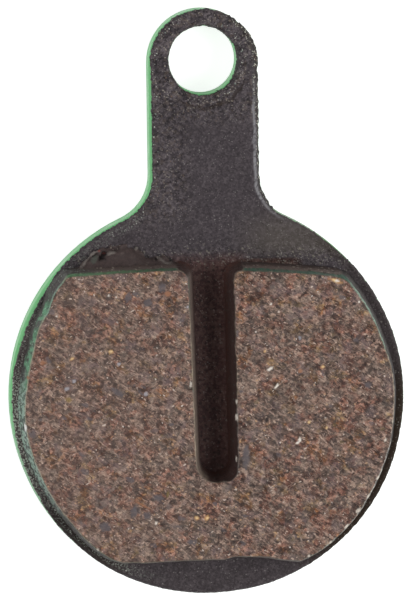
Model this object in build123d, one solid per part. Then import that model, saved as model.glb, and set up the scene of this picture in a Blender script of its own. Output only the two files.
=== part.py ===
from build123d import *
from math import radians, sqrt, tan
import os

# Bicycle disc brake pad, lying on its back.
# Lengths are in millimetres and angles in degrees. The origin is the disc's centre on the back face,
# the tab points along +Y and the friction face looks along +Z.

# Backing plate: steel, blanked from strip in one stroke
DISC_RADIUS = 11.0
PLATE_THICKNESS = 1.8
TAB_WIDTH = 6.05
TAB_REACH = 18.65  # from the disc's centre to the centre of the tab's round end
SHOULDER_RADIUS = 2.65  # arc that blends each side of the tab into the disc
HOLE_RADIUS = 1.9
HOLE_OFFSET = 0.2  # the hole lies this far past the centre of the tab's round end
DIE_ROLL = 0.2  # rounding that the press leaves on the front edges
BACK_BREAK = 0.08  # small bevel where the burr was tumbled off the back edges

# Bonding coat: the black film that the friction compound is moulded onto
COAT_THICKNESS = 0.1

# Friction block: its place on the disc, the outline of its ground face and the spread of its walls
BLOCK_HEIGHT = 2.1
RIM = 0.4  # bare rim of the disc around the block's foot
TOP_CUT = 3.64  # from the top of the disc's circle down to the crown of the block's top edge
BOTTOM_CUT = 2.13  # from the bottom of the disc up to the middle of the block's bottom edge
CROWN_RADIUS = 75.0  # radius of the slight outward bow of the top edge
CROWN_SHIFT = 1.4  # the crown lies this far to the left of the disc's centre
HOLLOW_RADIUS = 70.0  # radius of the slight inward bow of the bottom edge
TOP_CORNER = 1.15
BOTTOM_CORNER = 0.6
WALL_DRAFT = 8.0

# Blind slot in the block, measured on the ground face
SLOT_LENGTH = 11.93  # from the crown of the top edge to the deepest point of the round end
SLOT_END_RADIUS = 1.17
SLOT_END_X = 0.36  # the round end lies this far to the right of the disc's centre
SLOT_FLARE = 0.5  # each side opens by this angle towards the mouth
SLOT_LEAN = 1.1  # the mouth leans to the left by this angle
SLOT_DRAFT = 11.0
MOUTH_CORNER = 0.7

# Flash squeezed out along the foot of the block's top wall, to the left of the slot
FLASH_CORNER_GAP = 0.15  # from the block's top corner to where the flash starts
FLASH_SLOT_GAP = 0.65  # from where the flash ends to the slot's mouth
FLASH_REACH = 1.0
FLASH_ROOT = 0.55  # its height where it leaves the wall
FLASH_LIP = 0.12  # its height at the free edge
# Its free edge: shares of its span and of its reach
FLASH_WAVES = ((0.1, 0.35), (0.2, 0.7), (0.46, 1.0), (0.6, 0.8), (0.74, 0.35), (0.87, 0.34))

# How far cutters and wedges run past the faces they cut, so that no two faces lie in one plane
OVERRUN = 0.3

front_z = PLATE_THICKNESS + COAT_THICKNESS
wall_spread = BLOCK_HEIGHT * tan(radians(WALL_DRAFT))
block_radius = DISC_RADIUS - RIM - wall_spread
block_top = DISC_RADIUS - TOP_CUT
block_bottom = DISC_RADIUS - BOTTOM_CUT
slot_end_y = block_top - SLOT_LENGTH + SLOT_END_RADIUS
slot_run = block_top - slot_end_y
mouth_x = SLOT_END_X - slot_run * tan(radians(SLOT_LEAN))
mouth_half_width = SLOT_END_RADIUS + slot_run * tan(radians(SLOT_FLARE))


def plate_outline():
    """A disc and a round-ended tab, blended by one arc on each shoulder."""
    round_end = Pos(0, TAB_REACH) * Circle(TAB_WIDTH / 2)
    neck = Pos(0, TAB_REACH / 2) * Rectangle(TAB_WIDTH, TAB_REACH)
    outline = Circle(DISC_RADIUS) + neck + round_end
    shoulder_y = sqrt(DISC_RADIUS**2 - (TAB_WIDTH / 2) ** 2)
    shoulders = [
        outline.vertices().sort_by_distance((side * TAB_WIDTH / 2, shoulder_y, 0))[0]
        for side in (-1, 1)
    ]
    return fillet(shoulders, SHOULDER_RADIUS)


def backing_plate():
    """The blank with its hole, rolled edges in front and broken edges behind."""
    hole = Pos(0, TAB_REACH + HOLE_OFFSET) * Circle(HOLE_RADIUS)
    plate = extrude(plate_outline() - hole, PLATE_THICKNESS)
    plate = fillet(plate.faces().sort_by(Axis.Z)[-1].edges(), DIE_ROLL)
    return chamfer(plate.faces().sort_by(Axis.Z)[0].edges(), BACK_BREAK)


def bonding_coat(plate):
    """A film over the plate's flat front, up to where the edges start to roll."""
    return extrude(plate.faces().sort_by(Axis.Z)[-1], COAT_THICKNESS)


def drafted_round(radius, centre, slope, overrun):
    """A round wall, of this radius at the ground face, that widens (1) or narrows (-1) to the foot."""
    lean = slope * tan(radians(WALL_DRAFT))
    height = BLOCK_HEIGHT + 2 * overrun
    foot_radius = radius + lean * (BLOCK_HEIGHT + overrun)
    middle = Pos(*centre, front_z + BLOCK_HEIGHT / 2)
    return middle * Cone(foot_radius, radius - lean * overrun, height)


def upright_edges(solid):
    """The edges that climb from the foot to the ground face."""
    return solid.edges().filter_by(lambda edge: edge.bounding_box().size.Z > BLOCK_HEIGHT / 2)


def block_body():
    """A drafted disc cut off by a bowed wall at the top and a hollowed wall at the bottom."""
    crown = drafted_round(CROWN_RADIUS, (-CROWN_SHIFT, block_top - CROWN_RADIUS), 1, OVERRUN)
    hollow = drafted_round(HOLLOW_RADIUS, (0, -block_bottom - HOLLOW_RADIUS), -1, OVERRUN)
    body = drafted_round(block_radius, (0, 0), 1, 0) & crown
    body = fillet(upright_edges(body).sort_by(Axis.Y)[-2:], TOP_CORNER)
    body = body - hollow
    return fillet(upright_edges(body).sort_by(Axis.Y)[:2], BOTTOM_CORNER)


def slot_section(height):
    """The slot's outline at a height above the foot: two sides that flare out from a round end."""
    inset = (BLOCK_HEIGHT - height) * tan(radians(SLOT_DRAFT))
    length = slot_run + wall_spread + OVERRUN
    end = Circle(SLOT_END_RADIUS - inset)
    mouth = Pos(0, length) * Circle(SLOT_END_RADIUS - inset + length * tan(radians(SLOT_FLARE)))
    place = Pos(SLOT_END_X, slot_end_y, front_z + height) * Rot(0, 0, SLOT_LEAN)
    return place * make_hull(end.edges() + mouth.edges())


def slot_cutter():
    """The drafted core that leaves the slot, from under the foot to above the ground face."""
    return loft([slot_section(-OVERRUN), slot_section(BLOCK_HEIGHT + OVERRUN)], ruled=True)


def flash():
    """A wedge of squeezed-out compound, highest at the wall, with a wavering free edge."""
    start_x = FLASH_CORNER_GAP - sqrt(block_radius**2 - block_top**2)
    end_x = mouth_x - mouth_half_width - FLASH_SLOT_GAP
    span = end_x - start_x
    wall_y = block_top + wall_spread
    root_y = block_top - TOP_CORNER
    outer_y = wall_y + FLASH_REACH + OVERRUN
    waves = [(start_x + along * span, wall_y + out * FLASH_REACH) for along, out in FLASH_WAVES]
    free_edge = Spline((start_x, block_top), *waves, (end_x, block_top))
    root = Polyline((end_x, block_top), (end_x, root_y), (start_x, root_y), (start_x, block_top))
    sheet = Pos(0, 0, front_z) * extrude(make_face([free_edge, root]), FLASH_ROOT)
    slope = Polyline(
        (root_y - OVERRUN, front_z - OVERRUN),
        (outer_y, front_z - OVERRUN),
        (outer_y, front_z + FLASH_LIP),
        (wall_y, front_z + FLASH_ROOT),
        (root_y - OVERRUN, front_z + FLASH_ROOT),
        close=True,
    )
    wedge = extrude(Plane.YZ.offset(start_x - OVERRUN) * make_face(slope), span + 2 * OVERRUN)
    return sheet & wedge


def friction_block():
    """The moulding: drafted walls, the slot with rounded mouth corners, and the flash."""
    block = block_body() - slot_cutter()
    mouth = (mouth_x, block_top + wall_spread / 2, front_z + BLOCK_HEIGHT / 2)
    block = fillet(upright_edges(block).sort_by_distance(mouth)[:2], MOUTH_CORNER)
    return block + flash()


plate_part = backing_plate()
nodes = {
    "backing_plate": plate_part,
    "bonding_coat": bonding_coat(plate_part),
    "friction_block": friction_block(),
}

os.makedirs("parts", exist_ok=True)
for name, solid in nodes.items():
    export_step(solid, f"parts/{name}.step")
    print(name, round(solid.volume, 2), "cubic millimetres")
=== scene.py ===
# %% [markdown]
# A bicycle disc brake pad, dressed for a close-up.
# The steel plate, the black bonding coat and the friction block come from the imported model, at their real
# size and in their real place. This lesson gives each of them the surface that the real one has: satin
# green paint, a gritty black coat with a ragged border, and a ground face full of mineral grains.

# %% Load the frame
from math import atan2, cos, degrees, hypot, pi, radians, sin, tan

import bmesh
import bpy
from mathutils import Matrix, Vector, noise


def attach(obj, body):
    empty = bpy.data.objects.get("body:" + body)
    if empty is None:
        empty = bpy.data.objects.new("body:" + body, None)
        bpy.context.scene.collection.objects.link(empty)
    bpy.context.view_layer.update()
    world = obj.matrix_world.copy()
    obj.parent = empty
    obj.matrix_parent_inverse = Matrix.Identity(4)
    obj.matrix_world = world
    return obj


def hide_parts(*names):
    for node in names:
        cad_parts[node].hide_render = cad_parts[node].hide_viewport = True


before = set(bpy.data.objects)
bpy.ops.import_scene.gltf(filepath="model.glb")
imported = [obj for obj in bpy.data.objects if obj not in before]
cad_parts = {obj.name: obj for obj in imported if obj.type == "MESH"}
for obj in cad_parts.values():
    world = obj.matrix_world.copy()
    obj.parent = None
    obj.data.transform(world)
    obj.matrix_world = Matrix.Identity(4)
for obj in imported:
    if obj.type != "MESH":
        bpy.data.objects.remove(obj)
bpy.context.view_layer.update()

MM = 0.001
scene = bpy.context.scene

# %% [markdown]
# The camera comes first, because every later choice is judged through it.
# The photograph was taken from almost straight above, a little from the left and from the tab's end, with a
# long lens. A long lens far away keeps the disc round; a short lens close by would swell the near edge.
# The camera is turned by a matrix built from three directions, so that the tab points up in the picture.

# %% Camera
IMAGE_HEIGHT = 600
PIXELS_PER_MM = 17.952
SENSOR_WIDTH = 36
FAR_CLIP = 10
CAMERA_DISTANCE = 400 * MM
CAMERA_LEFT = radians(4.5)
CAMERA_TABWARD = radians(5.6)
CAMERA_ROLL = radians(0.74)
CAMERA_AIM = Vector((-0.022, 5.468, 2.0)) * MM

back = Vector((-tan(CAMERA_LEFT), tan(CAMERA_TABWARD), 1)).normalized()
level_up = (Vector((0, 1, 0)) - back * back.y).normalized()
level_right = level_up.cross(back)
up = level_up * cos(CAMERA_ROLL) + level_right * sin(CAMERA_ROLL)
right = up.cross(back)

camera = bpy.data.objects.new("camera", bpy.data.cameras.new("camera"))
scene.collection.objects.link(camera)
camera.data.sensor_width = SENSOR_WIDTH
camera.data.lens = PIXELS_PER_MM * CAMERA_DISTANCE / MM * SENSOR_WIDTH / IMAGE_HEIGHT
camera.data.clip_end = FAR_CLIP
turn = Matrix((right, up, back)).transposed().to_4x4()
camera.matrix_world = Matrix.Translation(CAMERA_AIM + back * CAMERA_DISTANCE) @ turn
scene.camera = camera
print("lens in mm:", round(camera.data.lens, 1))

# %% [markdown]
# The stage is a white floor under soft light. The stronger lamp stands on the right, so that it rakes over
# the grain and leaves the deep slot dark, and a weaker one fills from the left. The world adds an even fill.
# The floor is lifted to white only for the camera and in reflections, so the lift sheds no light on the pad.
# It lies a hair below the plate, and is clear from beneath and close by, so that the plate's back shows.

# %% Floor
FLOOR_HALF = 0.6
FLOOR_DROP = 0.02 * MM
CLEAR_WITHIN = 0.3 * MM
PAPER_GREY = 0.55
PAPER_LIFT = 0.8

bm = bmesh.new()
bmesh.ops.create_grid(bm, x_segments=1, y_segments=1, size=FLOOR_HALF)
bmesh.ops.translate(bm, verts=bm.verts, vec=(0, 0, -FLOOR_DROP))
floor_mesh = bpy.data.meshes.new("floor")
bm.to_mesh(floor_mesh)
bm.free()
floor = bpy.data.objects.new("floor", floor_mesh)
scene.collection.objects.link(floor)


def add_node(kind, sockets=None, tree=None, **settings):
    """A node whose sockets get a plain value or a link. It joins the tree that its links come from."""
    sockets = sockets or {}
    links = [value for value in sockets.values() if isinstance(value, bpy.types.NodeSocket)]
    tree = tree or links[0].id_data
    made = tree.nodes.new("ShaderNode" + kind)
    for name, value in settings.items():
        setattr(made, name, value)
    for name, value in sockets.items():
        if isinstance(value, bpy.types.NodeSocket):
            tree.links.new(value, made.inputs[name])
        else:
            made.inputs[name].default_value = value
    return made


def maths(operation, first, second=0.5, third=0.5):
    sockets = {0: first, 1: second, 2: third}
    return add_node("Math", sockets, operation=operation).outputs[0]


def times(first, second):
    return maths("MULTIPLY", first, second)


def white_paper():
    """Paper that keeps a soft shadow and reads as plain white to the camera and in reflections."""
    material = bpy.data.materials.new("white_paper")
    material.use_nodes = True
    tree = material.node_tree
    tree.nodes.clear()
    grey = (PAPER_GREY, PAPER_GREY, PAPER_GREY, 1)
    paper = add_node("BsdfDiffuse", {"Color": grey}, tree=tree)
    path = add_node("LightPath", tree=tree).outputs
    seen = maths("MAXIMUM", path["Is Camera Ray"], path["Is Glossy Ray"])
    seen = maths("MAXIMUM", seen, path["Is Transmission Ray"])
    glow = add_node("Emission", {"Strength": times(seen, PAPER_LIFT)})
    both = add_node("AddShader", {0: paper.outputs[0], 1: glow.outputs[0]})
    beneath = add_node("NewGeometry", tree=tree).outputs["Backfacing"]
    close = maths("LESS_THAN", path["Ray Length"], CLEAR_WITHIN)
    clear = maths("MAXIMUM", beneath, close)
    glass = add_node("BsdfTransparent", tree=tree)
    either = add_node("MixShader", {0: clear, 1: both.outputs[0], 2: glass.outputs[0]})
    add_node("OutputMaterial", {"Surface": either.outputs[0]})
    return material


floor.data.materials.append(white_paper())
print("floor below the plate, in mm:", FLOOR_DROP / MM)

# %% Lamps and world
LAMP_AIM = Vector((0, 5 * MM, 0))
WORLD_FILL = 0.3


def softbox(name, azimuth, elevation, distance, size, share):
    """A square lamp aimed at the pad, whose share is what it adds to a white surface that faces it."""
    lamp = bpy.data.lights.new(name, "AREA")
    lamp.size = size
    lamp.energy = share * pi ** 2 * distance ** 2
    holder = bpy.data.objects.new(name, lamp)
    a, e = radians(azimuth), radians(elevation)
    direction = Vector((cos(a) * cos(e), sin(a) * cos(e), sin(e)))
    holder.location = LAMP_AIM + direction * distance
    holder.rotation_mode = "QUATERNION"
    holder.rotation_quaternion = direction.to_track_quat("Z", "Y")
    scene.collection.objects.link(holder)


softbox("right_softbox", azimuth=-12, elevation=40, distance=0.4, size=0.26, share=0.78)
softbox("left_softbox", azimuth=170, elevation=36, distance=0.4, size=0.3, share=0.42)

world = bpy.data.worlds.new("studio")
world.use_nodes = True
fill = world.node_tree.nodes["Background"].inputs
fill["Color"].default_value = (1, 1, 1, 1)
fill["Strength"].default_value = WORLD_FILL
scene.world = world
scene.view_settings.view_transform = "Standard"

# %% [markdown]
# Materials are built from nodes, and a few helpers keep their wiring short.
# Colours are written as they look on screen, 0 to 255, and turned into the linear values that nodes expect.
# Every pattern is measured in millimetres on Object coordinates, so a grain of 0.2 is a grain of 0.2 mm.

# %% Node helpers
def screen(colour):
    """A colour as seen on screen, in the linear values of a shader. A socket passes as it is."""
    if isinstance(colour, bpy.types.NodeSocket):
        return colour
    parts = [v / 255 for v in colour]
    return (*[v / 12.92 if v <= 0.04045 else ((v + 0.055) / 1.055) ** 2.4 for v in parts], 1)


def vector_maths(operation, first, second):
    sockets = {0: first, "Scale" if operation == "SCALE" else 1: second}
    return add_node("VectorMath", sockets, operation=operation).outputs[0]


def in_millimetres(tree):
    """Object coordinates, scaled so that one unit is a millimetre."""
    place = add_node("TexCoord", tree=tree).outputs["Object"]
    return vector_maths("SCALE", place, 1 / MM)


def add_share(value, share, base):
    """A share of a value on top of a base."""
    return maths("MULTIPLY_ADD", value, share, base)


def weighed(first, *others):
    """A sum of values, each times its own weight."""
    total = times(*first)
    for value, weight in others:
        total = add_share(value, weight, total)
    return total


# Where the mix node has its two colours and its result
COLOUR_A, COLOUR_B, COLOUR_OUT = 6, 7, 2


def blend(factor, first, second, mode="MIX"):
    """Two colours mixed by a mask."""
    sockets = {0: factor, COLOUR_A: screen(first), COLOUR_B: screen(second)}
    return add_node("Mix", sockets, data_type="RGBA", blend_type=mode).outputs[COLOUR_OUT]


def layered(colour, layers):
    """Colours laid over a colour one after the other, each through its own mask."""
    for cover, tint in layers:
        colour = blend(cover, colour, tint)
    return colour


def rise(value, low, high, top=1.0):
    """A soft step: nothing below low, top above high."""
    sockets = {"Value": value, "From Min": low, "From Max": high, "To Min": 0.0, "To Max": top}
    return add_node("MapRange", sockets, interpolation_type="SMOOTHSTEP").outputs[0]


def shades(value, stops):
    """A colour ramp from (place, colour) stops."""
    made = add_node("ValToRGB", {0: value})
    bands = made.color_ramp.elements
    while len(bands) < len(stops):
        bands.new(0.5)
    for band, (place, colour) in zip(bands, stops):
        band.position = place
        band.color = screen(colour)
    return made.outputs["Color"]


def clouds(vector, scale, detail=2.0, roughness=0.5):
    """Smooth noise, with the scale in patches per millimetre."""
    sockets = {"Vector": vector, "Scale": scale, "Detail": detail, "Roughness": roughness}
    return add_node("TexNoise", sockets).outputs[0]


print("middle grey as a linear value:", round(screen((128, 128, 128))[0], 3))

# %% [markdown]
# Two effects come back in more than one finish, so each is a node group that is built once.
# The first breaks a surface into gritty grains and gives each grain its own tone. The second scatters
# long or round flecks: with other values the same group makes fibres, flakes, torn pits of painted shade
# and painted glints.

# %% Shared groups: gritty grains and scattered flecks
def new_group(name, inputs, outputs):
    """An empty shader group with named sockets, all plain numbers apart from the vector."""
    group = bpy.data.node_groups.new(name, "ShaderNodeTree")
    for side, sockets in (("INPUT", inputs), ("OUTPUT", outputs)):
        for socket in sockets:
            kind = "NodeSocketVector" if socket == "Vector" else "NodeSocketFloat"
            group.interface.new_socket(socket, in_out=side, socket_type=kind)
    return group, group.nodes.new("NodeGroupInput").outputs, group.nodes.new("NodeGroupOutput").inputs


def wavering(vector, scale, amount):
    """The same coordinates, pushed about a little by noise, so that no edge stays straight."""
    sockets = {"Vector": vector, "Scale": scale, "Detail": 2.0}
    push = add_node("TexNoise", sockets).outputs["Color"]
    centred = vector_maths("SUBTRACT", push, (0.5, 0.5, 0.5))
    return vector_maths("ADD", vector, vector_maths("SCALE", centred, amount))


def cells(place):
    """Cells one unit wide: the distance from a cell's middle, and the cell's own chance numbers."""
    made = add_node("TexVoronoi", {"Vector": place, "Scale": 1.0}).outputs
    return made["Distance"], add_node("SeparateColor", {0: made["Color"]}).outputs


def grain_group():
    """Angular grains of one size, with a tone and a hue for each grain."""
    group, given, result = new_group("gritty_grains", ("Vector", "Size"), ("Tone", "Hue"))
    scaled = vector_maths("SCALE", given["Vector"], maths("DIVIDE", 1.0, given["Size"]))
    _, chance = cells(wavering(scaled, 1.3, 0.9))
    group.links.new(chance[0], result["Tone"])
    group.links.new(chance[1], result["Hue"])
    return group


def fleck_group():
    """Flecks of one length and width, lying at an angle, in a share of the places where one could lie."""
    group, given, result = new_group(
        "scattered_flecks", ("Vector", "Length", "Width", "Angle", "Share"), ("Mask",))
    bent = wavering(given["Vector"], 2.2, 0.22)
    turn = {"Vector": bent, "Angle": given["Angle"]}
    turned = add_node("VectorRotate", turn, rotation_type="Z_AXIS").outputs[0]
    sides = {0: given["Length"], 1: given["Width"], 2: given["Width"]}
    size = add_node("CombineXYZ", sides).outputs[0]
    ragged = wavering(vector_maths("DIVIDE", turned, size), 1.7, 0.6)
    distance, chance = cells(ragged)
    chosen = maths("LESS_THAN", chance[0], given["Share"])
    body = maths("SUBTRACT", add_share(chance[1], 0.25, 0.25), distance)
    group.links.new(times(chosen, rise(body, 0.0, 0.12)), result["Mask"])
    return group


gritty_grains = grain_group()
scattered_flecks = fleck_group()
print("groups:", gritty_grains.name, scattered_flecks.name)


# %% Helpers for a finish
def grains(vector, size):
    sockets = {"Vector": vector, "Size": size}
    return add_node("Group", sockets, node_tree=gritty_grains).outputs


def flecks(vector, length, width, angle, share):
    sockets = {"Vector": vector, "Length": length, "Width": width, "Angle": radians(angle), "Share": share}
    return add_node("Group", sockets, node_tree=scattered_flecks).outputs[0]


def speckled(vector, colour, kinds):
    """A colour with kinds of flecks on it: length, width, angle, share, strength, colour and any masks."""
    for length, width, angle, share, strength, tint, *masks in kinds:
        cover = times(flecks(vector, length, width, angle, share), strength)
        for where in masks:
            cover = times(cover, where)
        colour = blend(cover, colour, tint)
    return colour


def new_material(name):
    """A material, its shader, the place on it in millimetres, and a function that fetches a piece's masks."""
    material = bpy.data.materials.new(name)
    material.use_nodes = True
    tree = material.node_tree

    def mask(layer, strength=1.0, output="Fac"):
        """A mask or a colour that the piece carries on its points, times a strength."""
        value = add_node("Attribute", tree=tree, attribute_name=layer).outputs[output]
        return value if strength == 1 else times(value, strength)

    return material, tree.nodes["Principled BSDF"], in_millimetres(tree), mask


def feed(shader, colour, roughness, height, relief):
    """Wire a finish: colour, roughness, and a bump whose relief is in millimetres."""
    sockets = {"Height": height, "Distance": relief * MM, "Strength": 1.0}
    normal = add_node("Bump", sockets).outputs[0]
    for name, value in (("Base Color", colour), ("Roughness", roughness), ("Normal", normal)):
        shader.id_data.links.new(value, shader.inputs[name])


print("a fleck takes", len(scattered_flecks.interface.items_tree) - 1, "values")

# %% [markdown]
# The backing plate is a steel blanking, sprayed with satin green paint that shows along its left edge and
# inside the hole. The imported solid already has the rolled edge, so it stays and only gets its finish:
# paint is smooth, so its life comes from a faint orange-peel and from dust that settled before it dried.

# %% Green paint on the plate
def green_paint():
    """Satin paint, uneven in tone, chalky on the lower edge, dulled on the right shoulder, and dusty."""
    material, shader, place, _ = new_material("satin_green_paint")
    cloud = clouds(place, 0.7, 3.0)
    colour = shades(cloud, [(0.3, (106, 194, 120)), (0.7, (130, 210, 142))])
    axes = add_node("SeparateXYZ", {0: place}).outputs
    on_edge = rise(axes["Z"], 0.0, 0.1)
    chalky = times(rise(axes["Y"], 0.5, -4.5, 0.6), on_edge)
    dulled = times(rise(axes["X"], 2.2, 3.4, 0.65), on_edge)
    for start, full in ((4.5, 6.5), (12.0, 10.5)):
        dulled = times(dulled, rise(axes["Y"], start, full))
    colour = layered(colour, ((chalky, (196, 216, 200)), (dulled, (86, 104, 70))))
    colour = speckled(place, colour, [(0.12, 0.1, 0, 0.05, 0.6, (60, 96, 70))])
    peel = clouds(place, 5.0)
    rough = rise(cloud, 0.2, 0.8, 0.3)
    feed(shader, colour, maths("ADD", rough, 0.3), peel, 0.01)
    return material


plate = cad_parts["backing_plate"]
plate.data.materials.clear()
plate.data.materials.append(green_paint())
print("plate faces:", len(plate.data.polygons))

# %% [markdown]
# The coat and the block both need a skin of small, even faces, so that grit, pits and chips can be real
# shape and not only shading. A copy of the solid is merged, enlarged so that a millimetre is one unit, and
# remeshed on a fine grid. Faces that nothing can see are then swapped for a few large ones.

# %% Bench helpers: skins
from mathutils.bvhtree import BVHTree

FLAT = 0.7


def bench_copy(name):
    """A merged copy of a solid, in millimetres."""
    bm = bmesh.new()
    bm.from_mesh(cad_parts[name].data)
    bmesh.ops.remove_doubles(bm, verts=bm.verts, dist=0.0001 * MM)
    bmesh.ops.scale(bm, vec=(1 / MM, 1 / MM, 1 / MM), verts=bm.verts)
    return bm


def even_skin(bm, voxel):
    """One closed skin of small even quads over the shape."""
    mesh = bpy.data.meshes.new("draft")
    bm.to_mesh(mesh)
    bm.free()
    draft = bpy.data.objects.new("draft", mesh)
    scene.collection.objects.link(draft)
    remesh = draft.modifiers.new("even_skin", "REMESH")
    remesh.mode = "VOXEL"
    remesh.voxel_size = voxel
    skin = bmesh.new()
    skin.from_object(draft, bpy.context.evaluated_depsgraph_get())
    bpy.data.objects.remove(draft)
    return skin


def wall_tree(name, tilt):
    """A search tree of a solid's walls, the faces that lean up or down by no more than the tilt."""
    bm = bench_copy(name)
    bmesh.ops.delete(bm, geom=[face for face in bm.faces if abs(face.normal.z) > tilt], context="FACES")
    print("wall faces of", name, "within", tilt, "of upright:", len(bm.faces))
    return BVHTree.FromBMesh(bm)


def merge_hidden(bm, hidden, facing):
    """Swap small faces that nothing can see for a few large ones."""
    bmesh.ops.delete(bm, geom=hidden, context="FACES")
    rim = [edge for edge in bm.edges if edge.is_boundary]
    bmesh.ops.triangle_fill(bm, edges=rim, normal=facing, use_beauty=True)


def merge_underside(bm):
    merge_hidden(bm, [face for face in bm.faces if face.normal.z < -FLAT], (0, 0, -1))


def calm_walls(bm, low, steps):
    """Smooth the walls above a height, because the grid leaves small terraces on slanted faces."""
    bm.normal_update()
    walls = [vert for vert in bm.verts if vert.normal.z < FLAT and vert.co.z > low]
    for _ in range(steps):
        bmesh.ops.smooth_vert(bm, verts=walls, factor=0.5, use_axis_x=True, use_axis_y=True, use_axis_z=True)
    bm.normal_update()


print("solids on the bench:", sorted(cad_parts))


# %% Bench helpers: soft steps, noise and hand-over
def ease(value, low, high):
    """0 below low, 1 above high, and smooth between."""
    t = min(max((value - low) / (high - low), 0), 1)
    return t * t * (3 - 2 * t)


def fade(value, low, high):
    """1 below low, 0 above high, and smooth between."""
    return 1 - ease(value, low, high)


def hump(value, start, full, fading, end):
    """A soft plateau: 0 up to start, 1 from full to fading, and 0 again from end."""
    return ease(value, start, full) * fade(value, fading, end)


def wobble(point, per_mm, seed=0):
    """Smooth noise between -1 and 1, the same on every run."""
    return noise.noise(point * per_mm + Vector((seed * 7.3, seed * 3.1, seed * 1.7)))


def bearing(p):
    """The direction of a point, in degrees from 0 to 360, anticlockwise from the right."""
    return degrees(atan2(p.y, p.x)) % 360


def finished_piece(bm, name, masks, colours, material, node):
    """The skin back at real size, with its masks as attributes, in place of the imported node."""
    bmesh.ops.scale(bm, vec=(MM, MM, MM), verts=bm.verts)
    mesh = bpy.data.meshes.new(name)
    bm.to_mesh(mesh)
    bm.free()
    for layer, values in masks.items():
        mesh.attributes.new(layer, "FLOAT", "POINT").data.foreach_set("value", values)
    for layer, values in colours.items():
        flat = [part for value in values for part in value]
        mesh.attributes.new(layer, "FLOAT_COLOR", "POINT").data.foreach_set("color", flat)
    mesh.shade_smooth()
    mesh.materials.append(material)
    piece = bpy.data.objects.new(name, mesh)
    scene.collection.objects.link(piece)
    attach(piece, "root")
    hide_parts(node)
    print(name, "triangles:", sum(len(face.vertices) - 2 for face in mesh.polygons))


print("half-way up a soft step:", ease(0.5, 0, 1))

# %% [markdown]
# The bonding coat is a gritty black film. On the real pad it covers the front, wraps over the rolled edge
# on the right, and stops raggedly half-way down the roll on the left and in part of the hole.
# It is made from the plate's own front: a slab of it is cut off, its skin is pushed out where there is film
# and pulled in under the paint where there is none, so the border is where the two skins cross.

# %% Bonding coat: slab and skin
COAT_VOXEL = 0.06
SLAB_FLOOR = 1.3

bm = bench_copy("backing_plate")
cut = bmesh.ops.bisect_plane(bm, geom=bm.verts[:] + bm.edges[:] + bm.faces[:], plane_co=(0, 0, SLAB_FLOOR),
                             plane_no=(0, 0, 1), clear_inner=True)
rim = [item for item in cut["geom_cut"] if isinstance(item, bmesh.types.BMEdge)]
bmesh.ops.triangle_fill(bm, edges=rim, normal=(0, 0, -1), use_beauty=True)
coat_bm = even_skin(bm, COAT_VOXEL)
print("coat skin faces:", len(coat_bm.faces))

# %% Bonding coat: few faces where nothing shows
PLATE_FRONT = 1.8
HIDDEN_MARGIN = 0.35
BLOCK_NEAR = 0.3

merge_underside(coat_bm)
block_tree = BVHTree.FromBMesh(bench_copy("friction_block"))


def under_block(point):
    """Whether the block stands over this place and over four places around it."""
    around = [(0, 0), (HIDDEN_MARGIN, 0), (-HIDDEN_MARGIN, 0), (0, HIDDEN_MARGIN), (0, -HIDDEN_MARGIN)]
    starts = [Vector((point.x + dx, point.y + dy, PLATE_FRONT)) for dx, dy in around]
    return all(block_tree.ray_cast(start, Vector((0, 0, 1)), BLOCK_NEAR)[0] for start in starts)


hidden = [face for face in coat_bm.faces if face.normal.z > FLAT and under_block(face.calc_center_median())]
merge_hidden(coat_bm, hidden, (0, 0, 1))
calm_walls(coat_bm, SLAB_FLOOR + 0.05, 2)
print("coat faces left:", len(coat_bm.faces))

# %% Bonding coat: border of the film
ROLL_FOOT = 1.6
PAINT_SIDE = Vector((cos(radians(145)), sin(radians(145))))
HOLE_SIDE = Vector((cos(radians(129)), sin(radians(129))))
HOLE = Vector((0, 18.85))
HOLE_ZONE = 2.3

# A stretch of the disc's edge where more paint shows: the angles where it starts, is full, fades and ends
BARE_STRETCH = (138, 147, 162, 172)

border_tree = wall_tree("bonding_coat", 0.5)


def edge_place(p):
    """How far a point lies past the plate's flat front, along roll and wall, and which way the edge looks."""
    near, wall, _, _ = border_tree.find_nearest(Vector((p.x, p.y, PLATE_FRONT + 0.05)))
    outward = wall.xy.normalized()
    past = (p.xy - near.xy).dot(outward) + max(ROLL_FOOT - p.z, 0)
    return past, outward, (near.xy - HOLE).length < HOLE_ZONE


def film_share(p, past, outward, at_hole):
    """1 where the film covers the plate, 0 where paint shows."""
    ragged = 0.05 * wobble(p, 5) + 0.04 * wobble(p, 12, 1)
    drift = 0.1 * wobble(p, 0.9, 2)
    if at_hole:
        bare = ease(outward.dot(HOLE_SIDE) + drift, -0.35, 0.1)
        border = 0.16 + 0.09 * wobble(p, 1.7, 3) + 0.08 * ease(-outward.x, 0.75, 0.95) + 0.4 * (1 - bare)
    else:
        bare = ease(outward.dot(PAINT_SIDE) + 0.22 * ease(-outward.y, 0.15, 0.4) + drift, 0.4, 0.7)
        covered = (1 - bare) * (1 - 0.8 * ease(outward.y, 0.5, 0.75))
        border = 0.09 + 0.05 * max(outward.y, 0) + 0.03 * ease(p.y, 18, 19.5) + 0.2 * covered
        border -= 0.04 * hump(p.y, 10.5, 12, 17.5, 19)
        border -= 0.09 * hump(bearing(p), *BARE_STRETCH)
    return fade(past + ragged, border - 0.04, border + 0.045)


# %% Bonding coat: stretches, crumbs and calm patches
# Stretches of the disc's edge: the angles where each starts, is full, fades and ends
THICK_ROLL = (275, 290, 335, 350)
THIN_ROLL = (15, 25, 50, 60)
WORN_ROLL = (198, 208, 225, 240)
DARK_STRETCH = (206, 220, 236, 252)
CLEAN_STRETCH = (112, 122, 146, 156)
DUSTY_STRETCH = (166, 178, 197, 216)
ROUGH_STRETCH = (148, 160, 204, 222)

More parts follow.
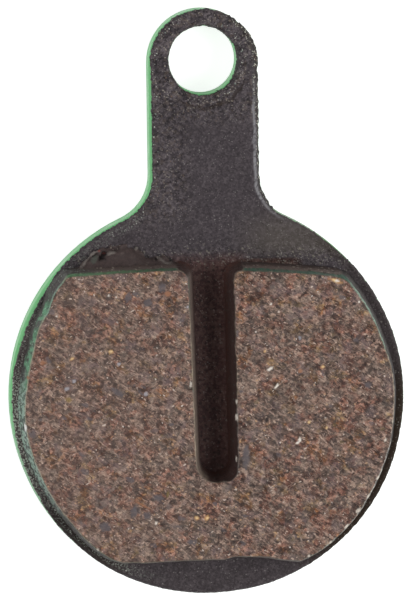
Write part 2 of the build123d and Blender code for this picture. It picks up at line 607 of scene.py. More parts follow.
# Crumbs of compound along the block's foot, to the right of the slot: place, radius and height in millimetres
CRUMBS = (
    (2.33, 7.78, 0.26, 0.1), (1.55, 7.58, 0.16, 0.07), (3.28, 7.8, 0.2, 0.1), (4.18, 7.92, 0.32, 0.12),
    (4.6, 7.78, 0.16, 0.07), (5.3, 7.71, 0.16, 0.07), (6.19, 7.41, 0.16, 0.08), (7.19, 7.22, 0.14, 0.06),
)

# Smooth patches of film at the tab's tip: place, radius and strength
CALM_PATCHES = ((2.35, 18.4, 0.75, 1), (2.1, 17.2, 0.8, 1))


def spots(p, places):
    """The strongest of a list of ragged round spots at this point: place, radius and strength."""
    found = 0
    for x, y, radius, strength in places:
        away = hypot(p.x - x, p.y - y) / radius
        if away < 1.5:
            found = max(found, strength * fade(away + 0.4 * wobble(p, 6), 0.4, 1.1))
    return found


print("crumbs:", len(CRUMBS))

# %% Bonding coat: grit, lumps and colour masks
# Thickness of the film on the front and on the roll, and how deep it hides under the paint
FILM = 0.1
ROLL_FILM = 0.05
SINK = 0.07


def coat_point(vert):
    """The move of one point of the film's skin, and its colour masks."""
    p, n = vert.co, vert.normal
    past, outward, at_hole = edge_place(p)
    film = film_share(p, past, outward, at_hole)
    on_roll = fade(n.z, 0.6, 0.98)
    angle = bearing(p)

    # Where on the film the point lies
    at_tab = ease(p.y, 9.0, 11.0)
    at_tip = ease(p.y, 14.5, 17.0)
    near_ring = at_hole * ease(outward.dot(HOLE_SIDE), 0.0, 0.5)
    past_ring = past + 0.1 * wobble(p, 2.2, 5)
    ring = near_ring * hump(past_ring, -0.5, -0.4, -0.12, 0.0)
    trench = near_ring * hump(past_ring, -0.72, -0.62, -0.52, -0.42)
    lumpy = max(at_tip, 0.7 * at_tab * ease(-p.x, 0.4, 1.8)) * (1 - spots(p, CALM_PATCHES))
    foot = hump(p.y, 7.1, 7.5, 8.1, 8.9) * fade(abs(p.x), 7.5, 8.5)
    calm = (1 - lumpy) * (1 - foot)
    right_side = ease(outward.x, 0.3, 0.7) * (not at_hole)

    # How far the film stands out: its thickness, grit, lumps, crumbs and the bumps on the roll
    curls = 0.5 - abs(wobble(p, 2.6, 3))
    grit = 0.4 * wobble(p, 4.2) + 0.6 * wobble(p, 8.5, 1) + 0.3 * curls
    crumb = spots(p, CRUMBS)
    bumps = 0.015 * wobble(p, 6.5, 8) + 0.02 * right_side * (1 + 2.5 * at_tab) * wobble(p, 3, 9)
    bumps *= on_roll * (not at_hole)
    lumps = (0.05 * lumpy + 0.06 * foot) * max(wobble(p, 3.4, 4), 0) + 0.04 * at_tip * wobble(p, 2.0, 9)
    lumps = (1 - 0.8 * on_roll) * (lumps + 0.09 * ring * (0.6 + wobble(p, 4, 4))) - 0.04 * trench
    roll_film = ROLL_FILM + 0.05 * hump(angle, *THICK_ROLL) - 0.03 * hump(angle, *THIN_ROLL)
    roll_film += 0.02 * at_tab * right_side - 0.045 * hump(angle, *WORN_ROLL)
    thickness = FILM + ((0.015 if at_hole else roll_film) - FILM) * on_roll
    stand = thickness + (0.026 + 0.02 * lumpy + 0.02 * foot - 0.012 * calm) * grit + lumps + bumps
    stand += crumb * (1 + 0.5 * wobble(p, 7, 6))
    move = n * (film * (SINK + stand) - SINK)

    # Which colours lie there
    # sheen: a painted highlight, a light-grey strip on the tab's rolled right edge
    sheen = at_tab * right_side * hump(past + 0.08 * wobble(p, 1.6, 6), -0.1, -0.03, 0.05, 0.09)
    sheen *= fade(p.y, 17.3, 18.6)
    # fringe: the falling outer edge of the tab's roll, painted dark as shade, with pale specks
    fringe = right_side * at_tab * ease(past, 0.06 - 0.2 * at_tip, 0.11)
    beside = ease(-outward.x, 0.2, 0.6)
    beside *= hump(past, -0.7 + 0.35 * at_tab, -0.3 + 0.1 * at_tab, -0.1, 0.06)
    beside *= 1 - 0.65 * hump(angle, *CLEAN_STRETCH)
    dusty = hump(angle, *DUSTY_STRETCH) * ease(past + 0.15 * wobble(p, 2, 5), -0.9, -0.6)
    outer = (1 - at_tab) * ease(past, -1.3, -0.9)
    # band: an outer stretch on the left, lightened below as painted light where the block shades it
    band = outer * hump(angle, *ROUGH_STRETCH)
    above_block = (1 - at_tab) * ease(p.y, 7.5, 8.5)
    # A painted shadow on the film along the block's foot, right of the slot
    painted_foot_shadow = hump(p.y, 7.1, 7.35, 7.6, 7.8) * hump(p.x, 1.5, 2.0, 4.8, 5.6)
    slot_floor = fade(p.y, 7.3, 8.3) * fade(abs(p.x), 1.8, 2.6) * ease(p.y, -5.5, -5.2)
    lower_left = hump(angle, *DARK_STRETCH) * ease(past, -1.0, -0.5)
    # Painted shade: the right rim of the disc is painted dark
    painted_shade = (1 - at_tab) * ease(outward.x, 0.35, 0.7)
    painted_shade *= ease(past + 0.12 * wobble(p, 2.4, 5), -0.5, -0.1) * (1 - 0.65 * ease(p.y, -0.5, 3.0))
    masks = dict(
        grit=0.5 + 0.5 * grit, lumpy=max(lumpy, ring), foot=foot, calm=calm, sheen=sheen,
        fringe=fringe, beside=beside, dusty=dusty, band=band, cove=max(slot_floor, painted_foot_shadow),
        # More painted shade: the bottom, the trench round the hole, a stretch at the lower left, the block's
        # foot
        painted_shade=max(painted_shade, 0.13 * ease(-p.y, 6.5, 8.5), 0.5 * trench, 0.6 * lower_left, 0.5 * painted_foot_shadow),
        # Painted light on the slot floor, near its right wall and towards its lower end
        painted_slot_light=slot_floor * max(ease(p.x, 0.4, 1.05), 0.7 * ease(-p.y, 2.2, 4.0)),
        drift=max(0.95 * dusty, 0.3 * beside * (1 - at_tab)),
        rough_band=max(band, outer * right_side), crumb=min(1, 12 * crumb + ring),
        # Painted light on the shoulder above the block towards the right, painted shade towards the left
        lit_shoulder=above_block * ease(p.x, 1.0, 4.0),
        dim_shoulder=above_block * ease(-p.x, 1.5, 4.0),
    )
    return move, masks


def shape_skin(bm, rule):
    """Move every point by a rule, and return the masks the rule gives, one list each."""
    results = [rule(vert) for vert in bm.verts]
    for vert, (move, _) in zip(bm.verts, results):
        vert.co += move
    return {name: [masks[name] for _, masks in results] for name in results[0][1]}


coat_masks = shape_skin(coat_bm, coat_point)
print("coat masks:", sorted(coat_masks))


# %% Bonding coat: finish and hand-over
def black_coat():
    """Black film: fine grit, specks where lumpy, pale dust by the paint, painted glints, highlight, light and
    shade.
    """
    material, shader, place, mask = new_material("gritty_black_coat")
    fine = grains(place, 0.085)
    middle = grains(place, 0.16)
    lumpy, foot, beside, dusty, cove, crumb, fringe, band, rough_band, painted_shade = map(mask, (
        "lumpy", "foot", "beside", "dusty", "cove", "crumb", "fringe", "band", "rough_band", "painted_shade"))

    tone = weighed((middle["Tone"], 0.2), (fine["Tone"], 0.34), (clouds(place, 0.5, 3.0), 0.16),
                   (mask("grit"), 0.16))
    contrast = add_share(mask("calm"), -0.25, add_share(lumpy, 0.5, 1.0))
    tone = add_share(maths("SUBTRACT", tone, 0.44), contrast, 0.5)
    for per_mm, amount in ((1.4, 0.85), (3.0, 0.7)):
        uneven = times(maths("SUBTRACT", clouds(place, per_mm), 0.5), lumpy)
        tone = add_share(uneven, amount, tone)
    colour = shades(tone, [(0.15, (30, 24, 27)), (0.5, (62, 55, 59)), (0.85, (100, 92, 95))])

    def patches(where, per_mm, detail, low, high, top=1.0):
        """Cloudy patches that keep to a mask."""
        return times(where, rise(clouds(place, per_mm, detail), low, high, top))

    colour = blend(patches(lumpy, 3.2, 2.0, 0.5, 0.68, 0.5), colour, (92, 80, 72))
    # The slot floor and the painted foot shadow are made redder and darker
    colour = blend(cove, colour, (240, 182, 174), "MULTIPLY")
    # Painted light: the slot floor is lightened, most near its right wall and lower end
    lift = weighed((cove, 0.05), (mask("painted_slot_light"), 0.14))
    # The sheen is a painted highlight on the tab's rolled right edge
    sheen = times(mask("sheen"), add_share(middle["Tone"], 1.2, 0.2))
    colour = layered(colour, (
        (lift, (130, 88, 78)),
        # Painted light and painted shade on the shoulder above the block
        (mask("lit_shoulder", 0.14), (128, 120, 98)),
        (mask("dim_shoulder", 0.08), (40, 24, 22)),
        # Partly painted light, lifting the band where the block shades it, and partly a browner tone
        (times(band, 0.3), (118, 102, 98)),
        # painted shade
        (painted_shade, (43, 33, 25)),
        (sheen, (132, 130, 133)),
        # Painted shade on the falling outer edge of the tab's roll
        (times(fringe, 0.75), (38, 34, 30)),
        (patches(mask("drift"), 9.0, 2.0, 0.5, 0.6), (190, 198, 184)),
        (patches(cove, 5.5, 2.0, 0.44, 0.6, 0.4), (112, 88, 81)),
    ))
    cluster = patches(cove, 1.3, 1.0, 0.46, 0.58)
    colour = speckled(place, colour, (
        # Painted glints: small pale flecks all over the film
        (0.085, 0.07, 20, 0.08, 0.5, (150, 146, 142)),
        (0.13, 0.1, 35, 0.2, 0.65, (148, 140, 129), lumpy),
        (0.12, 0.09, 70, 0.1, 0.7, (112, 92, 78), lumpy),
        (0.2, 0.15, 10, 0.2, 0.6, (34, 24, 22), foot),
        (0.18, 0.13, 40, 0.22, 0.75, (118, 112, 102), foot),
        (0.1, 0.08, 10, 0.12, 0.7, (132, 128, 120), foot),
        (0.26, 0.2, 25, 0.35, 0.6, (34, 24, 22), cove),
        (0.22, 0.13, 65, 0.35, 0.7, (112, 96, 90), cluster),
        (0.15, 0.11, 60, 0.2, 0.7, (130, 114, 108), cluster),
        (0.14, 0.1, 15, 0.16, 0.8, (126, 136, 128), beside),
        (0.2, 0.15, 40, 0.3, 0.6, (30, 25, 23), rough_band),
        (0.14, 0.11, 20, 0.2, 0.6, (108, 104, 98), rough_band),
        (0.11, 0.09, 80, 0.25, 0.9, (190, 180, 174), band),
        (0.16, 0.12, 30, 0.25, 0.5, (64, 60, 52), painted_shade),
        (0.1, 0.08, 50, 0.12, 0.9, (200, 204, 194), beside),
        (0.15, 0.1, 75, 0.25, 0.8, (164, 178, 168), dusty),
        (0.13, 0.1, 0, 0.5, 0.8, (136, 130, 126), crumb),
        (0.12, 0.08, 60, 0.5, 0.95, (206, 206, 190), fringe),
    ))

    shader.inputs["Specular IOR Level"].default_value = 0.3
    rough = add_share(painted_shade, 0.4, add_share(fine["Hue"], 0.25, 0.5))
    feed(shader, colour, rough, fine["Tone"], 0.01)
    return material


finished_piece(coat_bm, "bonding_coat_film", coat_masks, {}, black_coat(), "bonding_coat")

# %% [markdown]
# The friction block is a moulding of brown compound whose front was ground flat.
# Grinding tears out grains, so the face is a plateau with pits and fine streaks, and its edges are chipped.
# The walls keep a dark moulded skin, and green paint drifted onto the walls that look up and to the left.

# %% Friction block: skin
BLOCK_VOXEL = 0.0735
BLOCK_FOOT = 1.9

block_bm = even_skin(bench_copy("friction_block"), BLOCK_VOXEL)
merge_underside(block_bm)
calm_walls(block_bm, BLOCK_FOOT + 0.1, 4)
print("block faces:", len(block_bm.faces))

# %% Friction block: a moulded outline is never quite round
# Swollen and shrunken stretches of the round side: the angles where each starts, is full, fades and ends,
# and how far it stands out there in millimetres
SWELLS = (
    (6, 20, 40, 48, -0.11), (134, 138.5, 143, 151, 0.26), (150, 152, 156, 159, 0.04),
    (158, 164, 172, 184, -0.11), (195, 202, 220, 226, -0.06), (224, 232, 236, 240, 0.06),
    (238, 242, 245, 249, -0.1), (294, 308, 320, 336, 0.17), (326, 333, 345, 354, 0.07),
)

# On the ground face: the centre of the slot's round end, the slot's right edge beside it and its lean,
# and the right corner of the slot's mouth
SLOT_END = Vector((0.36, -3.4))
SLOT_RIGHT = 1.53
SLOT_LEAN = 0.0105
MOUTH_RIGHT = Vector((1.5, 7.2))
print("swollen and shrunken stretches:", len(SWELLS))


def outline_shift(p):
    """How far the outline leaves the drawn one: swells, a dent below, the slot's worn edge and corners."""
    angle = bearing(p)
    swell = sum(amount * hump(angle, *stretch) for *stretch, amount in SWELLS)
    shift = p.xy.normalized() * swell * ease(p.xy.length, 9.4, 10.25)
    shift.y += 0.16 * hump(p.x, 0.6, 1.4, 2.6, 4.4) * ease(-p.y, 8.2, 8.8)
    high = ease(p.z, 2.8, 3.7)
    from_edge = abs(p.x - SLOT_RIGHT + SLOT_LEAN * (p.y - SLOT_END.y))
    frayed = high * fade(from_edge, 0.1, 0.35) * ease(p.y, SLOT_END.y - 0.3, SLOT_END.y + 0.5)
    shift.x += frayed * (0.06 * wobble(p, 1.4, 11) + 0.06 * wobble(p, 3.6, 12))
    from_end = p.xy - SLOT_END
    squarer = hump(bearing(from_end), 285, 305, 330, 350) * hump(from_end.length, 0.5, 0.9, 1.3, 1.6)
    shift += Vector((0.7, -0.7)) * 0.14 * high * squarer
    shift += Vector((-0.7, 0.7)) * 0.12 * high * fade((p.xy - MOUTH_RIGHT).length, 0.1, 0.45)
    return shift.to_3d()


def in_slot(p):
    """1 on the slot's own walls, 0 outside."""
    return ease(p.x, -1.75, -1.55) * fade(p.x, 1.85, 2.05) * ease(p.y, -5.2, -5.0)


# %% Friction block: stretches, chips and flash
# Stretches of the block's round side: the angles where each starts, is full, fades and ends
MINTY_RIGHT = (10, 18, 46, 56)
MINTY_LEFT = (138, 141, 150, 154)
PALE_RIM = (276, 290, 345, 356)
LEFT_WALL = (126, 138, 236, 246)
PAINTED_WALL = (144, 150, 176, 192)
DUSTY_WALL = (168, 180, 200, 222)

# Chips out of the ground face's edges, and holes in the flash: place, radius and depth in millimetres
EDGE_CHIPS = (
    (1.47, -0.06, 0.2, 0.1), (1.48, -0.93, 0.16, 0.08), (1.4, -3.28, 0.22, 0.1), (-1.05, 0.88, 0.22, 0.2),
    (0.45, -4.51, 0.18, 0.25), (-10.36, -1.26, 0.25, 0.2), (7.15, 6.59, 0.3, 0.06),
)
FLASH_HOLES = (
    (-5.8, 7.95, 0.2, 0.35), (-5.66, 8.14, 0.18, 0.3), (-5.02, 8.5, 0.2, 0.25), (-4.2, 8.57, 0.16, 0.25),
    (-4.02, 8.52, 0.14, 0.2), (-3.0, 7.95, 0.2, 0.2), (-3.3, 8.02, 0.14, 0.15), (-2.75, 7.86, 0.14, 0.2),
)

# The pale lip that runs up the flash's left end, and short ridges on its free edge
FLASH_RIDGES = (
    ((-6.95, 7.35), (-6.79, 7.62), (-6.6, 7.9), (-6.35, 8.15), (-6.0, 8.34)),
    ((-5.42, 8.18), (-5.28, 8.23), (-5.1, 8.24)),
    ((-3.94, 8.44), (-3.86, 8.38)),
    ((-2.66, 7.98), (-2.5, 7.8), (-2.28, 7.64), (-1.95, 7.52)),
)

# The flash thins out to a feather edge, so each of its points needs the way to that edge.
# Only the walls of the free edge stand upright, because all others have draft.
free_edge_tree = wall_tree("friction_block", 0.05)


def on_ridge(p):
    """1 on the top of a ridge, 0 beside it."""
    pairs = [pair for path in FLASH_RIDGES for pair in zip(path, path[1:])]
    away = 1.0
    for start, end in pairs:
        start, run = Vector(start), Vector(end) - Vector(start)
        along = min(max((p.xy - start).dot(run) / run.length_squared, 0), 1)
        away = min(away, (p.xy - start - run * along).length)
    return fade(away + 0.05 * wobble(p, 5, 3), 0.02, 0.1)


# %% Friction block: grinding, wear and colour masks
FACE_HEIGHT = 4.0
STREAK = radians(-31)
streak_along = Vector((cos(STREAK), sin(STREAK)))
streak_across = Vector((-sin(STREAK), cos(STREAK)))


def block_point(vert):
    """The move of one point of the block's skin, and its colour masks."""
    p, n = vert.co, vert.normal
    slot = in_slot(p)
    outward = n.xy.normalized() if n.xy.length > 0.01 else Vector((0, 0))
    wall = fade(n.z, 0.25, 0.75)
    ground = ease(p.z, FACE_HEIGHT - 0.1, FACE_HEIGHT - 0.03) * ease(n.z, 0.6, 0.92)
    looks_up = (1 - slot) * ease(outward.y, 0.55, 0.85)
    looks_right = (1 - slot) * ease(outward.x, 0.12, 0.45)
    angle = bearing(p)
    minty = looks_right * hump(angle, *MINTY_RIGHT)
    # Painted shade on the slot's walls that face left or up
    slot_shade = slot * max(ease(-n.x, 0.2, 0.6), ease(outward.y, 0.3, 0.8))
    # Painted shade: walls that face right, and the slot's shaded walls, are painted near black below
    shade = wall * max(slot_shade, looks_right * (1 - 0.1 * minty))

    # The worn line: the top of the walls, and on the right and in the slot also the face's outermost ring
    rim_reach = 0.3 + (0.35 * looks_up + 0.3 * minty) * (1 + 0.6 * wobble(p, 1.3, 9)) - 0.12 * shade
    rim = ease(p.z, FACE_HEIGHT - rim_reach, FACE_HEIGHT - max(0.08, rim_reach - 0.25)) * (1 - ground)
    looks_down = (1 - slot) * ease(-outward.y, 0.6, 0.9)
    rim *= 1 - 0.55 * looks_down - 0.7 * slot * ease(outward.y, 0.3, 0.8)
    slot_left = slot * ease(outward.x, 0.3, 0.6)
    rim *= 1 - 0.85 * slot * ease(-outward.x, 0.3, 0.6)
    rim *= 1 - 0.75 * slot_left * ease(-wobble(p, 1.8, 10) - 0.5 * wobble(p, 5, 9), -0.25, 0.15)
    green_lip = max(looks_up, 0.7 * looks_down, slot_left * ease(p.y, 4.6, 5.4))
    next_to = [edge.other_vert(vert).normal for edge in vert.link_edges]
    drop = next((m for m in next_to if m.z < 0.6), None) if ground > 0.5 else None
    if drop is not None:
        outer_ring = max((1 - slot) * ease(drop.x, 0.3, 0.6), 0.3 * slot * ease(-drop.x, 0.3, 0.6))
        rim = max(rim, outer_ring * ease(wobble(p, 2.2, 7) + 0.5 * wobble(p, 6, 8), -0.3, 0.15))

    # What grinding leaves on the face and wear takes from the edges
    along, across = p.xy.dot(streak_along), p.xy.dot(streak_across)
    drawn = Vector((along * 0.65, across * 1.3, 0))
    streak = noise.noise(Vector((along * 0.6, across * 6, 0)))
    pit = ease(wobble(drawn, 4.6, 2), 0.3, 0.5)
    grain = 0.6 * wobble(p, 5.5) + 0.6 * wobble(p, 10, 1)
    sink = ground * (0.014 - 0.018 * grain - 0.012 * streak + 0.06 * pit)
    chip = ease(wobble(p, 1.9, 4), 0.1, 0.5)
    edge_loss = rim * (1 - ground) * (0.02 + (0.06 + 0.05 * shade) * chip + 0.05 * wobble(p, 5, 5))
    skin = wall * (0.02 * wobble(p, 2.5) + 0.012 * wobble(p, 7, 1))

    # The torn flash
    flash = ease(p.y, 7.3, 7.5) * fade(p.z, 2.5, 2.75) * fade(p.x, -1.4, -1.0)
    to_edge = (free_edge_tree.find_nearest(p)[0].xy - p.xy).length if flash > 0 else 1
    broken = fade(to_edge, 0.08, 0.35)
    feather = flash * max(p.z - BLOCK_FOOT, 0) * 0.75 * fade(to_edge, 0.0, 0.5)
    lumps = 0.05 * wobble(p, 1.6, 6) + (0.03 + 0.1 * broken) * wobble(p, 3.4, 7)
    lumps += (0.02 + 0.07 * broken) * wobble(p, 7, 8)
    hole = flash * spots(p, FLASH_HOLES)
    lump = 0.12 * (flash * on_ridge(p)) if flash > 0 else 0

    move = outline_shift(p) + n * (skin + flash * lumps - edge_loss)
    move.z += lump - hole - feather - sink - (spots(p, EDGE_CHIPS) if p.z > FACE_HEIGHT - 0.8 else 0)

    # Paint and dust on the left wall, and painted light on the slot's left wall
    height = ease(p.z + 0.6 * wobble(p, 1.3, 5) + 0.4 * wobble(p, 4, 6), 2.5, 3.1)
    left_wall = wall * (1 - slot) * (1 - flash) * hump(angle, *LEFT_WALL)
    painted = left_wall * hump(angle, *PAINTED_WALL) * height
    dusty = left_wall * hump(angle, *DUSTY_WALL)
    # Painted light on the slot's left wall: stronger high up, weaker towards the mouth
    lit = slot * ease(n.x, 0.3, 0.6) * ease(p.z, 2.0, 3.9) * (1 - 0.7 * ease(p.y, 2.0, 6.0))
    lit *= fade(p.y, 6.4, 7.2)
    masks = dict(
        ground=ground, pit=ground * pit, rim=rim, looks_up=wall * looks_up,
        green_lip=green_lip, shade=shade, slot_shade=wall * slot_shade,
        minty=max(minty, hump(angle, *MINTY_LEFT)), pale_rim=hump(angle, *PALE_RIM),
        left_wall=left_wall, painted=painted, dusty=dusty, lit=lit,
        flash=flash, hole=min(1, 4 * hole), lump=min(1, 8 * lump),
        wall_height=(p.z - BLOCK_FOOT) / (FACE_HEIGHT - BLOCK_FOOT),
        leftward=ease(-p.x, -2.0, 8.0),
    )
    return move, masks


block_masks = shape_skin(block_bm, block_point)
print("block masks:", sorted(block_masks))

# %% [markdown]
# Most flecks in the compound are too many and too small to place, and the material scatters those.
# A few dozen stand out on this pad: white and golden chips, rusty grains, grey flakes and torn holes.
# They are painted onto the skin as a colour attribute, each as a small lying ellipse with a ragged edge.

# %% Friction block: flecks that stand out
# Of each fleck: its place, length and width in millimetres, and its angle in degrees
GREY_FLAKES = (
    (1.97, -3.14, 1.3, 0.38, 85), (8.82, 0.73, 0.36, 0.34, 0), (-4.48, 5.92, 0.56, 0.36, 70),
    (-3.38, 5.56, 0.46, 0.42, 20), (-2.58, 6.38, 0.46, 0.4, 80), (-4.32, -6.08, 0.66, 0.36, 80),
    (-3.59, -6.32, 0.44, 0.42, 0), (-2.97, -5.33, 0.6, 0.34, 0), (-5.94, -6.89, 0.66, 0.5, -20),
    (-1.21, -7.83, 0.34, 0.28, 0), (-5.17, 0.64, 0.85, 0.34, -35),
)
OLIVE_GRAINS = ((-7.84, 0.25, 0.34, 0.28, 0), (-2.41, -5.11, 0.4, 0.16, 80))
RUSTY_GRAINS = (
    (-9.25, 2.35, 0.3, 0.24, 20), (-10.09, 1.53, 0.2, 0.2, 0), (-2.26, 6.04, 0.34, 0.28, 10),
    (-3.86, -5.7, 1.0, 0.14, -30), (5.04, 1.59, 0.28, 0.22, 60), (6.75, 6.7, 0.3, 0.18, -20),
)
GOLD_CHIPS = (
    (-5.47, 2.88, 0.3, 0.25, 0), (-7.64, 2.53, 0.26, 0.16, 20), (6.31, 1.79, 0.24, 0.18, 30),
    (5.51, -1.27, 0.22, 0.18, 60), (6.5, -1.62, 0.2, 0.16, 90), (3.1, 2.75, 0.16, 0.12, 90),
    (-0.81, -6.5, 0.3, 0.24, -20), (-0.25, -6.51, 0.32, 0.26, 40), (7.13, 6.57, 0.66, 0.22, -18),
)
PALE_CHIPS = (
    (-5.04, 2.2, 0.2, 0.2, 0), (-3.56, 0.5, 0.27, 0.22, 30), (-7.94, 0.87, 0.26, 0.2, 20),
    (-7.55, 1.3, 0.2, 0.2, 0), (5.06, 3.44, 0.24, 0.16, 90), (-1.18, 5.29, 0.14, 0.12, 0),
)
WHITE_CHIPS = (
    (3.37, 1.75, 0.34, 0.18, 35), (3.74, 0.78, 0.34, 0.16, 50), (4.97, -2.26, 0.3, 0.17, 70),
    (4.84, -2.42, 0.22, 0.13, 15), (8.37, 5.37, 0.14, 0.12, 0), (-5.54, 6.0, 0.14, 0.12, 0),
    (3.46, 5.36, 0.16, 0.1, 70), (-3.1, -6.72, 0.16, 0.16, 0), (7.21, 6.56, 0.3, 0.12, -18),
    (1.49, -0.06, 0.2, 0.13, 90), (1.49, -0.93, 0.36, 0.12, 90), (1.39, -3.28, 0.3, 0.2, 90),
    (-1.05, 0.94, 0.4, 0.14, 90),
)
RIM_CHIPS = (
    (9.34, -4.5, 0.26, 0.18, 60), (8.78, -5.5, 0.26, 0.14, 55), (8.22, -6.28, 0.36, 0.16, 50),
    (7.53, -7.17, 0.3, 0.12, 45), (6.62, -8.05, 0.2, 0.12, 40), (5.38, -8.79, 0.2, 0.12, 20),
    (9.76, -2.37, 0.2, 0.12, 75), (-6.35, -8.16, 0.2, 0.14, -45),
)
# Torn holes have no depth in the skin: their dark colour is painted shade
TORN_HOLES = (
    (3.16, -1.1, 0.34, 0.24, 70), (-2.99, 1.71, 0.17, 0.16, 0), (-3.87, 1.5, 0.13, 0.12, 0),
    (-2.6, -6.8, 0.4, 0.1, 0), (8.09, 5.27, 0.24, 0.2, 0), (6.16, 6.81, 0.16, 0.16, 0),
)
print("white chips:", len(WHITE_CHIPS) + len(RIM_CHIPS))

# %% Friction block: painting the flecks
from mathutils.kdtree import KDTree

FLASH_HEIGHT = 2.25

points = KDTree(len(block_bm.verts))
for index, vert in enumerate(block_bm.verts):
    points.insert(vert.co, index)
points.balance()
fleck_colours = [(0, 0, 0, 0)] * len(block_bm.verts)


def lay_flecks(places, colour, strength, share=1.0, height=FACE_HEIGHT):
    """Paint flecks of one colour over what is there, at a share of their size, with the strength in alpha."""
    red, green, blue, _ = screen(colour)
    for x, y, length, width, angle in places:
        turn = radians(angle)
        for co, index, _ in points.find_range(Vector((x, y, height)), length + 0.25):
            dx, dy = co.x - x, co.y - y
            along = (dx * cos(turn) + dy * sin(turn)) / (length * share / 2)
            across = (dy * cos(turn) - dx * sin(turn)) / (width * share / 2)
            cover = fade(hypot(along, across) + 0.45 * wobble(co, 8), 0.75, 1.3)
            if cover > fleck_colours[index][3] * 0.5 and cover > 0.02:
                fleck_colours[index] = (red, green, blue, cover * strength)


lay_flecks(GREY_FLAKES, (90, 83, 86), 0.85)
lay_flecks(OLIVE_GRAINS, (118, 98, 50), 0.7)
lay_flecks(RUSTY_GRAINS, (158, 108, 78), 0.8)
lay_flecks(GOLD_CHIPS, (194, 148, 98), 0.9)
lay_flecks(GOLD_CHIPS, (240, 210, 158), 0.95, share=0.6)
lay_flecks(PALE_CHIPS, (164, 160, 166), 0.85)
lay_flecks(WHITE_CHIPS, (230, 220, 208), 1.0)
lay_flecks(RIM_CHIPS, (224, 214, 200), 0.9)
lay_flecks(((-10.34, -1.24, 0.5, 0.26, -72),), (255, 255, 250), 1.0)
# painted shade of the torn holes
lay_flecks(TORN_HOLES, (34, 24, 22), 0.95)
for place, colour in (
    ((-6.2, 7.9, 0.5, 0.3, 50), (76, 78, 70)),
    ((-5.93, 8.34, 0.14, 0.12, 0), (142, 78, 72)),
    ((-1.67, 7.78, 0.3, 0.12, -50), (190, 176, 176)),
):
    lay_flecks([place], colour, 0.9, height=FLASH_HEIGHT)
print("flecked points:", sum(1 for colour in fleck_colours if colour[3] > 0))


# %% Friction block: finish of the ground face
def curled(vector, per_mm, line):
    """Thin curling lines, like cut fibres: where smooth noise crosses its middle, broken by other noise."""
    crossing = maths("ABSOLUTE", maths("SUBTRACT", clouds(vector, per_mm, 1.0), 0.5))
    thin = maths("SUBTRACT", 1.0, rise(crossing, 0.0, line))
    return times(thin, rise(clouds(vector, per_mm * 0.83, 0.0), 0.45, 0.58))


def ground_face(mask, place, fine, middle, coarse):
    """Colour and height of ground compound: a mosaic of grains, streaks, cut fibres, flakes and chips."""
    patch = clouds(place, 1.1, 3.0)
    stretched = {"Vector": place, "Rotation": (0, 0, STREAK), "Scale": (1 / 1.5, 1 / 6, 1 / 6)}
    drawn = add_node("Mapping", stretched, vector_type="TEXTURE").outputs[0]
    shifted = vector_maths("ADD", place, (13.0, 7.0, 3.0))
    streak = clouds(drawn, 1.0, 3.0, 0.6)
    tone = weighed((middle["Tone"], 0.28), (fine["Tone"], 0.16), (streak, 0.46), (coarse["Tone"], 0.1))
    face = shades(tone, [(0.26, (46, 34, 29)), (0.42, (86, 66, 58)), (0.5, (107, 86, 76)),
                         (0.6, (134, 110, 97)), (0.76, (192, 166, 148))])

    reddish = weighed((patch, 0.7), (coarse["Hue"], 0.3))
    face = blend(rise(reddish, 0.4, 0.68, 0.9), face, (255, 214, 204), "MULTIPLY")
    ochre = rise(clouds(place, 1.2), 0.54, 0.66, 0.85)
    face = blend(ochre, face, (255, 240, 184), "MULTIPLY")
    mauve = rise(clouds(shifted, 1.5), 0.54, 0.66, 0.5)
    face = blend(mauve, face, (118, 99, 100))
    greyish = weighed((patch, -0.6), (middle["Hue"], 0.4))
    face = blend(rise(greyish, -0.1, 0.12, 0.4), face, (102, 94, 86))
    for vector, per_mm, line, strength, tint in (
        (place, 2.2, 0.05, 0.55, (50, 37, 33)),
        (drawn, 0.8, 0.045, 0.5, (58, 44, 39)),
        (shifted, 2.5, 0.05, 0.32, (174, 148, 132)),
        (drawn, 1.0, 0.045, 0.45, (178, 150, 132)),
    ):
        face = blend(times(curled(vector, per_mm, line), strength), face, tint)
    face = speckled(place, face, (
        (0.42, 0.1, 31, 0.24, 0.65, (54, 40, 36)),
        (0.34, 0.09, -40, 0.14, 0.6, (58, 44, 39)),
        (0.46, 0.095, 31, 0.26, 0.55, (180, 152, 137)),
        (0.34, 0.1, -30, 0.1, 0.5, (182, 150, 131)),
        (0.34, 0.095, 65, 0.13, 0.5, (178, 154, 140)),
        (0.6, 0.42, 30, 0.08, 0.75, (92, 84, 87)),
        (0.4, 0.3, -20, 0.03, 0.4, (112, 96, 56)),
        # Dark flecks: small torn pits, painted dark as shade
        (0.2, 0.12, 31, 0.12, 0.75, (44, 33, 30)),
        (0.2, 0.1, 31, 0.05, 0.75, (208, 182, 164)),
        (0.16, 0.09, -50, 0.03, 0.75, (204, 180, 166)),
        (0.14, 0.11, 50, 0.014, 0.85, (214, 202, 192)),
        (0.28, 0.12, -25, 0.008, 0.8, (216, 198, 184)),
        (0.17, 0.14, 10, 0.035, 0.7, (192, 154, 120)),
    ))
    # The pits are sunk and also painted darker, as painted shade
    face = blend(mask("pit", 0.6), face, (48, 35, 31))
    # Painted light: the face is a little lighter towards the left
    face = blend(mask("leftward", 0.08), face, (156, 128, 116))
    return face, add_share(fine["Tone"], 0.5, tone)


print("streaks lie at", round(degrees(STREAK)), "degrees")


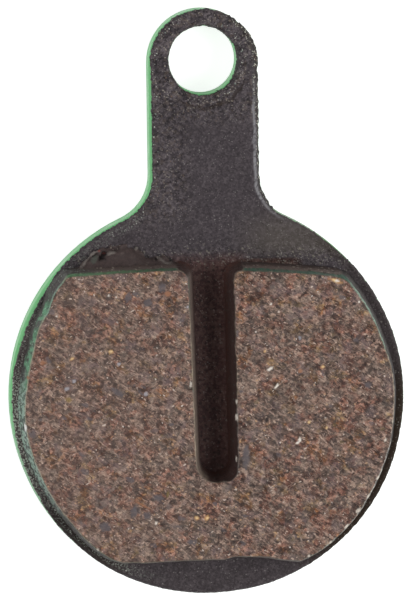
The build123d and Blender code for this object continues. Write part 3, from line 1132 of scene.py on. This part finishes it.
# %% Friction block: finish of the walls, and hand-over
def moulded_skin(mask, place, fine):
    """Colour of the walls: dark skin, painted shade and light on sides, the flash with its holes, drifted
    paint.
    """
    wall_height = mask("wall_height")
    # Darker towards the foot of every wall, as painted shade
    skin = shades(wall_height, [(0.0, (74, 55, 50)), (0.35, (84, 66, 60)),
                                (0.6, (94, 80, 74)), (1.0, (98, 85, 80))])
    # Painted shade for the slot's shaded walls, lighter at their foot as painted light
    shaded = shades(wall_height, [(0.0, (92, 56, 47)), (0.4, (62, 36, 30)), (1.0, (54, 31, 26))])
    beyond = maths("SUBTRACT", 1.0, mask("leftward"))
    beyond = times(beyond, mask("looks_up"))
    # Painted shadow: dark patches at the foot of the top wall, right of the slot
    foot = add_share(clouds(place, 3.0), 0.5, wall_height)
    foot = times(beyond, maths("SUBTRACT", 1.0, rise(foot, 0.5, 0.75)))
    skin = layered(skin, (
        (times(beyond, 0.5), (128, 110, 102)),
        # painted shadow at the wall's foot
        (times(foot, 0.7), (48, 32, 29)),
        (mask("flash", 0.9), (72, 58, 56)),
        # painted shade on the walls that face right
        (mask("shade", 0.9), (20, 14, 12)),
        (mask("slot_shade", 0.95), shaded),
        # painted light on the slot's left wall
        (mask("lit", 0.85), (122, 107, 94)),
        (rise(fine["Tone"], 0.0, 1.0, 0.35), (34, 24, 24)),
        (mask("lump", 0.7), (132, 124, 118)),
        # The flash's holes are sunk and painted dark, as painted shade
        (mask("hole", 0.75), (20, 14, 14)),
    ))
    upright = {"Vector": place, "Scale": (1.0, 1.0, 0.35)}
    tall = add_node("Mapping", upright).outputs[0]
    patches = rise(clouds(tall, 4.5), 0.45, 0.56)
    mist = rise(clouds(tall, 2.2, 3.0), 0.3, 0.6, 0.85)
    skin = layered(skin, (
        (mask("left_wall", 0.9), (36, 31, 29)),
        (times(patches, mask("left_wall", 0.5)), (70, 70, 64)),
        (times(mist, mask("painted")), (106, 164, 126)),
        (mask("dusty", 0.75), (78, 92, 84)),
        (times(patches, mask("dusty", 0.9)), (154, 180, 164)),
    ))
    for name, size, angle, share, strength, tint in (
        ("flash", 0.22, 60, 0.25, 0.55, (40, 30, 30)),
        ("flash", 0.3, 20, 0.25, 0.4, (98, 86, 82)),
        ("looks_up", 0.26, 60, 0.4, 0.65, (46, 36, 34)),
        ("looks_up", 0.18, 30, 0.28, 0.75, (142, 130, 120)),
        ("shade", 0.18, 45, 0.3, 0.5, (70, 66, 62)),
        ("left_wall", 0.16, 20, 0.3, 0.6, (26, 22, 20)),
        ("left_wall", 0.12, 35, 0.26, 0.75, (128, 138, 128)),
        ("minty", 0.13, 30, 0.3, 0.7, (92, 92, 86)),
        ("dusty", 0.11, 75, 0.25, 0.9, (200, 212, 202)),
        ("painted", 0.12, 60, 0.2, 0.8, (168, 204, 180)),
        ("painted", 0.14, 20, 0.2, 0.7, (44, 50, 44)),
    ):
        kind = (size, 0.8 * size, angle, share, strength, tint, mask(name))
        skin = speckled(tall, skin, [kind])
    return skin


def friction_compound():
    """Ground compound on the face, moulded skin on the walls, a pale worn line where they meet, and chips."""
    material, shader, place, mask = new_material("ground_friction_compound")
    fine, middle, coarse = [grains(place, size) for size in (0.1, 0.21, 0.42)]
    face, height = ground_face(mask, place, fine, middle, coarse)
    colour = blend(mask("ground"), moulded_skin(mask, place, fine), face)

    painted = shades(mask("leftward"), [
        (0.0, (52, 94, 76)), (0.5, (60, 96, 68)), (1.0, (92, 140, 94))])
    line = blend(mask("minty"), (186, 172, 150), (158, 186, 167))
    line = blend(mask("pale_rim"), line, (216, 214, 204))
    line = blend(mask("green_lip"), line, painted)
    worn = times(mask("rim"), add_share(fine["Tone"], 0.6, 0.4))
    colour = blend(worn, colour, line)
    colour = blend(mask("fleck", output="Alpha"), colour, mask("fleck", output="Color"))

    feed(shader, colour, add_share(coarse["Hue"], 0.2, 0.65), height, 0.025)
    return material


finished_piece(block_bm, "friction_block_ground", block_masks, {"fleck": fleck_colours},
               friction_compound(), "friction_block")
